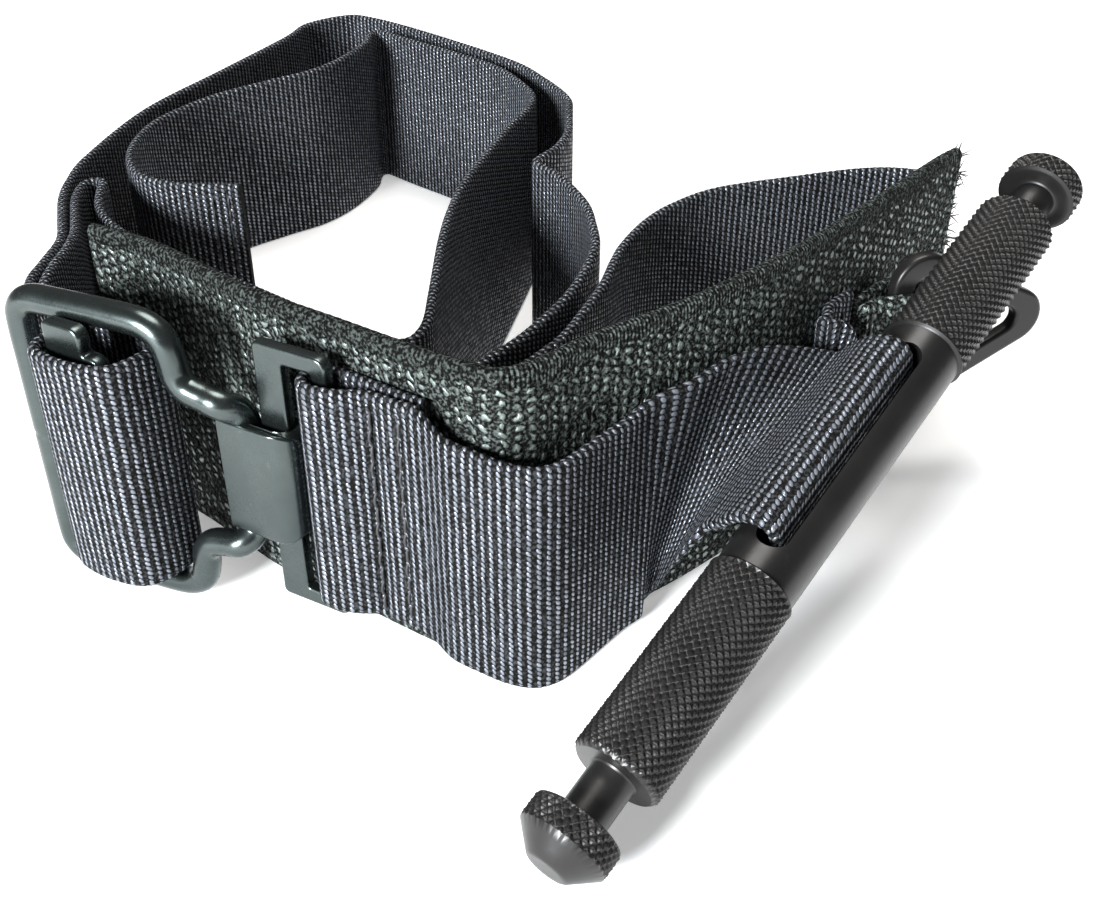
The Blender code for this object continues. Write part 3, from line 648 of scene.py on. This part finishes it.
def stitch_row(name, foot, out, low, high, material, node, sway=(0, 0, 0)):
    """One row of stitches up a strap's face: a thread that rises from each needle hole and dives back."""
    heights = np.arange(low, high, 0.2)
    rise = np.abs(np.sin(math.pi * (heights - low) / STITCH_LENGTH)) ** 0.6
    swing = np.sin(math.pi * (heights - low) / STITCH_LENGTH)
    foot = np.array((*foot, 0.0))
    out = unit((*out, 0.0))
    points = (foot + np.outer(heights, UP) + np.outer(rise * STITCH_RISE - STITCH_SUNK, out)
              + np.outer(swing, np.array(sway, dtype=float)))
    obj = tube(name, points, THREAD_RADIUS, material, 7)
    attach(obj, "webbing")
    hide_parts(node)


def stitching(material):
    """Every sewn joint's thread."""
    face = STRAP_THICK / 2
    low, high = BUCKLE_MID - STRAP_MID + 1.5, BUCKLE_MID + STRAP_MID - 1.5
    for name, along in (("seam_plate_near", 20.6), ("seam_plate_far", 25.2)):
        foot = buckle_point(along, 1.25 + face - SEAM_PRESS)
        stitch_row(name + "_thread", foot[:2], BUCKLE_OUT[:2], low, high, material, name,
                   BUCKLE_ALONG * STITCH_SWAY)
    tall = (2, 36)
    anchor = np.array((53.1, 20.8)) + SIDE_OUT * face
    stitch_row("seam_anchor_thread", anchor, SIDE_OUT, *tall, material, "seam_anchor")
    tab = SIDE_FROM + SIDE_RUN * 18.3 + SIDE_OUT * (TAB_OUTER_LAY + TAB_THICK / 2)
    short = (RING_BAR[2] - 7.5, RING_BAR[2] + 7.5)
    stitch_row("seam_ring_thread", tab, SIDE_OUT, *short, material, "seam_ring")
    behind = np.array((66.2, 42.3)) - SIDE_OUT * face
    stitch_row("seam_back_thread", behind, -SIDE_OUT, *tall, material, "seam_back")
    for name, x in (("seam_hem_near", -51.5), ("seam_hem_far", -54.5)):
        stitch_row(name + "_thread", (x, TAIL_END_Y - face), (0, -1), *tall, material, name)


# ---------------------------------------------------------------- metal parts

WIRE_MID = 25.2
WIRE_ARM = [(-0.4, 11.2), (-2.6, 12.1), (-5.2, 12.7), (-7.8, 13.5), (-9.3, 15.4), (-9.7, 18.0),
            (-10.6, 20.8), (-12.8, 22.4), (-16, 22.9), (-22, 22.95), (-28, 22.95), (-32.6, 22.7),
            (-34.8, 21), (-35.3, 18.2), (-35.3, 10)]
HOOK_FACE_OUT = 4.6
LEFT_ROD_OUT = 8.6
LEFT_ROD_ALONG = -35.3
WIRE_RADIUS = 2.15
HOOK_HEIGHT = 18.8
HOOK_DROP = 0.3
HOOK_TURN_FROM = 5.2
HOOK_CORNER = 3.4


def wire_out(along):
    """How far the buckle's wire stands out of the buckle plane: more at the left rod."""
    return HOOK_FACE_OUT + (2 - along) * (LEFT_ROD_OUT - HOOK_FACE_OUT) / (2 - LEFT_ROD_ALONG)


def buckle_wire(material):
    """The bent bar of the buckle, from one side of the hook plate round to the other."""
    tuck = [(-1.0, 5.0, 2.1), (-1.0, 8.0, 2.1), (-1.4, 10.6, 3.1)]
    arm = tuck + [(along, rise, wire_out(along)) for along, rise in WIRE_ARM[1:]]
    route = arm + [(along, -rise, out) for along, rise, out in reversed(arm)]
    stations = [buckle_point(along, out, WIRE_MID + rise) for along, rise, out in route]
    samples, path, lengths = smooth_path(stations, 0.5)
    middle = lengths[-1] / 2
    butt = np.exp(-((samples - middle) / 0.25) ** 2)
    obj = tube("buckle_wire", path, WIRE_RADIUS - 0.14 * butt, material, 28)
    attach(obj, "buckle")
    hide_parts("buckle_frame")


def rounded(corners, radii, steps=8):
    """A polygon whose corners are rounded to the given radii."""
    outline = []
    count = len(corners)
    for i, radius in enumerate(radii):
        corner = Vector(corners[i])
        before = (Vector(corners[i - 1]) - corner).normalized()
        after = (Vector(corners[(i + 1) % count]) - corner).normalized()
        half = before.angle(after) / 2
        centre = corner + (before + after).normalized() * (radius / math.sin(half))
        touch = corner + before * (radius / math.tan(half))
        first = math.atan2(*(touch - centre).yx)
        turn = (math.pi - 2 * half) * (1 if before.cross(after) < 0 else -1)
        angles = first + turn * np.linspace(0, 1, steps + 1)
        outline += [(centre.x + radius * math.cos(a), centre.y + radius * math.sin(a)) for a in angles]
    return outline


def plate(name, outlines, thick, axes, origin, edge, material, body, replaces):
    """A flat plate: closed outlines in two axes, given a thickness along the third and round edges."""
    curve = bpy.data.curves.new(name, "CURVE")
    curve.dimensions = "2D"
    curve.fill_mode = "BOTH"
    curve.extrude = (thick / 2 - edge) * MM
    curve.bevel_depth = edge * MM
    curve.bevel_resolution = 3
    curve.offset = -edge * MM
    for outline in outlines:
        spline = curve.splines.new("POLY")
        spline.points.add(len(outline) - 1)
        spline.points.foreach_set("co", np.pad(np.array(outline) * MM, ((0, 0), (0, 2))).ravel())
        spline.use_cyclic_u = True
    shape = bpy.data.objects.new(name + "_outline", curve)
    bpy.context.scene.collection.objects.link(shape)
    graph = bpy.context.evaluated_depsgraph_get()
    mesh = bpy.data.meshes.new_from_object(shape.evaluated_get(graph))
    bpy.data.objects.remove(shape)
    matrix = Matrix([Vector(axis) for axis in axes]).transposed().to_4x4()
    matrix.translation = Vector(placed(origin))
    mesh.transform(matrix)
    mesh.materials.clear()
    mesh.polygons.foreach_set("use_smooth", np.ones(len(mesh.polygons), dtype=bool))
    obj = new_object(name, mesh, material)
    obj.data.set_sharp_from_angle(angle=math.radians(35))
    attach(obj, body)
    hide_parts(*replaces)
    return obj


def keeper_plate(material):
    """The stamped plate with one tall slot, on its strap bar's axis."""
    outer = rounded([(-11.1, -22), (1.3, -22), (1.3, 22), (-11.1, 22)], [1, 1.8, 1.8, 1])
    inner = rounded([(-6.3, -19.4), (-1.3, -19.4), (-1.3, 19.4), (-6.3, 19.4)], [0.6] * 4)
    plate("slotted_plate", [outer, inner[::-1]], 2.0, (BUCKLE_ALONG, UP, BUCKLE_OUT),
          buckle_point(12.5, 0.8, 25.0), 0.4, material, "keeper", ["keeper_plate"])


def hook_plate(material):
    """The hook's bent plate: a flat front, a round turn through the slot, and a short lip behind.

    Its height shrinks along the last few millimetres, which rounds the corners at the turn.
    """
    front = HOOK_FACE_OUT - 0.6
    middle = np.array([(-4.2, front), (2, front)] + arc((4.4, front - 2.9), 2.9, 90, 0, 9)
                      + [(7.3, 0.4)] + arc((5.4, -0.1), 1.9, -10, -90, 7) + [(2.6, -2.0)])
    run = unit(np.gradient(middle, axis=0))
    side = np.stack([-run[:, 1], run[:, 0]], axis=1) * 0.85
    outline = np.vstack([middle + side, (middle - side)[::-1]])
    obj = plate("hook_plate", [outline.tolist()[::-1]], HOOK_HEIGHT, (BUCKLE_ALONG, BUCKLE_OUT, -UP),
                buckle_point(0, 0, WIRE_MID - HOOK_DROP), 0.35, material,
                "buckle", ["buckle_hook"])
    places = np.array([vertex.co for vertex in obj.data.vertices])
    along = (places - placed(buckle_point(0, 0, WIRE_MID))) @ BUCKLE_ALONG / MM
    reach = np.clip(along - HOOK_TURN_FROM, 0, HOOK_CORNER - 0.2)
    drop = HOOK_CORNER - np.sqrt(HOOK_CORNER ** 2 - reach ** 2)
    places[:, 2] = WIRE_MID * MM + (places[:, 2] - WIRE_MID * MM) * (1 - drop / 8.9)
    obj.data.vertices.foreach_set("co", places.ravel())


def slider_plate(material):
    """The slider: a flat bar with taller ears at its left, which the strap folds over."""
    corners = [(0, -22.6), (7.2, -22.6), (7.2, -18.6), (10.2, -18.6), (10.2, 18.6), (7.2, 18.6),
               (7.2, 22.6), (0, 22.6)]
    outline = rounded(corners, [1, 1.8, 0.5, 1.8, 1.8, 0.5, 1.8, 1])
    plate("slider_plate", [outline], 2.4, (BUCKLE_ALONG, UP, BUCKLE_OUT),
          buckle_point(-27.0, 11.1, WIRE_MID), 0.55, material, "slider", ["slider_bar"])


def ring_plate(material):
    """The flat three-cornered ring that holds the windlass down."""
    outer = rounded([(-2, -17.8), (34, 0), (-2, 17.8)], [5.5, 5, 5.5], 12)
    inner = rounded([(2, -11.6), (25.4, 0), (2, 11.6)], [2, 2.2, 2], 10)
    along = unit((0.958, 0.288, 0.0))
    plate("three_cornered_ring", [outer, inner[::-1]], 2.6, (along, UP, np.cross(along, UP)), RING_BAR,
          0.7, material, "ring", ["lock_ring"])


ROD_RADIUS = 6.35
MIDDLE_RADIUS = 5.9
SLOT_END = 18.2
SLOT_SIDE = 2.3
SLOT_OFFSET = 0.6
KNURL_AROUND = 30
KNURL_LENGTH = 1.45
KNURL_DEPTH = 0.42


def knurled(z, turn):
    """Height of a diamond knurl, from 0 to 1: the lesser of two crossing sets of sloped grooves."""
    around = turn * KNURL_AROUND / (2 * math.pi)
    one = np.abs((around + z / KNURL_LENGTH) % 1.0 - 0.5) * 2
    other = np.abs((around - z / KNURL_LENGTH) % 1.0 - 0.5) * 2
    return 1 - np.maximum(one, other) ** 1.3


def turned_end(name, profile, sign, material):
    """One end of the windlass: a profile of distance, radius and knurl depth, turned about the rod."""
    fine = KNURL_LENGTH / 9
    rows = [profile[0]]
    for low, high in zip(profile[:-1], profile[1:]):
        count = int(np.ceil(abs(high[0] - low[0]) / fine)) if low[2] or high[2] else 3
        share = np.linspace(0, 1, count + 1)[1:, None]
        rows += list(np.array(low) * (1 - share) + np.array(high) * share)
    z, radius, depth = np.array(rows).T
    turn = np.linspace(0, 2 * math.pi, KNURL_AROUND * 8, endpoint=False)
    lift = depth[:, None] * (knurled(z[:, None], turn[None, :]) - 1)
    ring = (ROD_OUT[None] * np.cos(turn)[:, None] + ROD_UP[None] * np.sin(turn)[:, None])
    points = (ROD_MIDDLE + ROD_DIRECTION * (z * sign)[:, None, None]
              + ring[None] * (radius[:, None] + lift)[..., None])
    obj = grid_object(name, points, material, inside_out=sign > 0)
    obj.data.set_sharp_from_angle(angle=math.radians(50))
    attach(obj, "windlass")
    return obj


def windlass(material):
    """The turned bar: knob, neck and knurled handle at each end, and a smooth slotted middle."""
    depth = KNURL_DEPTH
    r = ROD_RADIUS
    profile = [(23.2, 5.5, 0), (24.0, 5.9, 0), (24.3, r, 0), (24.6, r, depth), (55.4, r, depth),
               (56.0, 5.6, 0), (56.0, 5.3, 0), (56.0, 3.4, 0), (56.3, 3.2, 0), (62.8, 3.2, 0),
               (63.0, 3.5, 0), (63.0, 5.5, 0), (63.3, r - 0.2, 0), (63.6, r, depth), (66.5, r, depth),
               (66.9, r - 0.2, 0), (69.8, 3.1, 0), (70.0, 2.7, 0), (70.0, 0.2, 0)]
    for name, sign in (("windlass_upper_end", 1), ("windlass_lower_end", -1)):
        turned_end(name, profile, sign, material)
    turn = np.linspace(0, 2 * math.pi, 96, endpoint=False)
    z = np.linspace(-23.9, 23.9, 60)
    ring = ROD_OUT[None] * np.cos(turn)[:, None] + ROD_UP[None] * np.sin(turn)[:, None]
    points = ROD_MIDDLE + ROD_DIRECTION * z[:, None, None] + ring[None] * MIDDLE_RADIUS
    middle = grid_object("windlass_middle", points, material, inside_out=True)
    outline = arc((SLOT_END, 0), SLOT_SIDE, -90, 90, 13) + arc((-SLOT_END, 0), SLOT_SIDE, 90, 270, 13)
    base = np.array([ROD_MIDDLE + ROD_DIRECTION * x + ROD_OUT * (y + SLOT_OFFSET) for x, y in outline])
    walls = np.stack([base - ROD_UP * 10, base + ROD_UP * 10])
    cutter = grid_object("slot_cutter", walls, material)
    slot = middle.modifiers.new("slot", "BOOLEAN")
    slot.operation = "DIFFERENCE"
    slot.object = cutter
    slot.solver = "EXACT"
    graph = bpy.context.evaluated_depsgraph_get()
    cut = bpy.data.meshes.new_from_object(middle.evaluated_get(graph))
    middle.modifiers.clear()
    middle.data = cut
    middle.data.set_sharp_from_angle(angle=math.radians(40))
    bpy.data.objects.remove(cutter)
    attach(middle, "windlass")
    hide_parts("windlass")


# ---------------------------------------------------------------- stage

def area_light(name, place, target, size, power, colour):
    light = bpy.data.lights.new(name, "AREA")
    light.shape = "DISK"
    light.size = size
    light.energy = power
    light.color = colour
    lamp = bpy.data.objects.new(name, light)
    bpy.context.scene.collection.objects.link(lamp)
    lamp.location = place
    lamp.rotation_euler = (Vector(target) - Vector(place)).to_track_quat("-Z", "Y").to_euler()


def stage():
    """A pale floor, soft studio light and the camera."""
    floor_material, shader, _ = start_material("pale_floor")
    shader.inputs["Base Color"].default_value = (0.9, 0.9, 0.895, 1.0)
    shader.inputs["Roughness"].default_value = 0.9
    shader.inputs["Emission Color"].default_value = (1.0, 1.0, 1.0, 1.0)
    shader.inputs["Emission Strength"].default_value = 0.35
    mesh = bpy.data.meshes.new("floor")
    reach = 3.0
    mesh.from_pydata([(-reach, -reach, 0), (reach, -reach, 0), (reach, reach, 0), (-reach, reach, 0)],
                     [], [(0, 1, 2, 3)])
    new_object("floor", mesh, floor_material)
    world = bpy.data.worlds.new("studio")
    world.use_nodes = True
    world.node_tree.nodes["Background"].inputs["Color"].default_value = (1.0, 1.0, 1.0, 1.0)
    world.node_tree.nodes["Background"].inputs["Strength"].default_value = 0.16
    bpy.context.scene.world = world
    bpy.context.scene.view_settings.view_transform = "Standard"
    area_light("key", (-0.58, -0.78, 0.36), (0, -0.03, 0.02), 0.3, 34.0, (0.93, 0.97, 1.0))
    area_light("top", (0.1, 0.25, 1.1), (0, 0, 0.02), 0.7, 13.0, (1.0, 0.98, 0.95))
    camera = bpy.data.cameras.new("camera")
    camera.sensor_width = 36.0
    camera.lens = 42.7
    camera.shift_x = 0.0276
    camera.clip_start = 0.01
    holder = bpy.data.objects.new("camera", camera)
    bpy.context.scene.collection.objects.link(holder)
    holder.location = (-0.00284, -0.22063, 0.13222)
    aim = Matrix.Rotation(math.radians(56.09), 4, "X") @ Matrix.Rotation(math.radians(-0.65), 4, "Z")
    holder.rotation_euler = aim.to_euler()
    bpy.context.scene.camera = holder


def build():
    # Each webbing's second colour is its painted glint colour for the yarn crowns.
    nylon = webbing_material("smooth_nylon", YARN_PITCH, (0.3, 0.62), 0.35, 0.3,
                             (0.0032, 0.0028, 0.0024), (0.27, 0.29, 0.33))
    coarse = webbing_material("coarse_nylon", COARSE_PITCH, (0.34, 0.5), 1.3, 0.5,
                              (0.003, 0.0034, 0.0028), (0.3, 0.35, 0.33), 0.16,
                              (BASE_WIDTH / 2 - BASE_THICK / 2 + math.pi * BASE_THICK / 4, 3.2))
    thread = thread_material()
    steel = metal_material("dark_steel", (0.045, 0.055, 0.055), (0.11, 0.13, 0.125), 0.27, 0.95)
    alloy = metal_material("black_alloy", (0.006, 0.0055, 0.0055), (0.02, 0.0185, 0.018), 0.36, 0.35)
    long_strap(nylon)
    working_strap(nylon)
    loose_ends(base_pad(coarse), thread)
    ring_tab(coarse)
    stitching(thread)
    buckle_wire(steel)
    keeper_plate(steel)
    hook_plate(steel)
    slider_plate(steel)
    ring_plate(alloy)
    windlass(alloy)
    stage()


build()
bpy.context.view_layer.update()
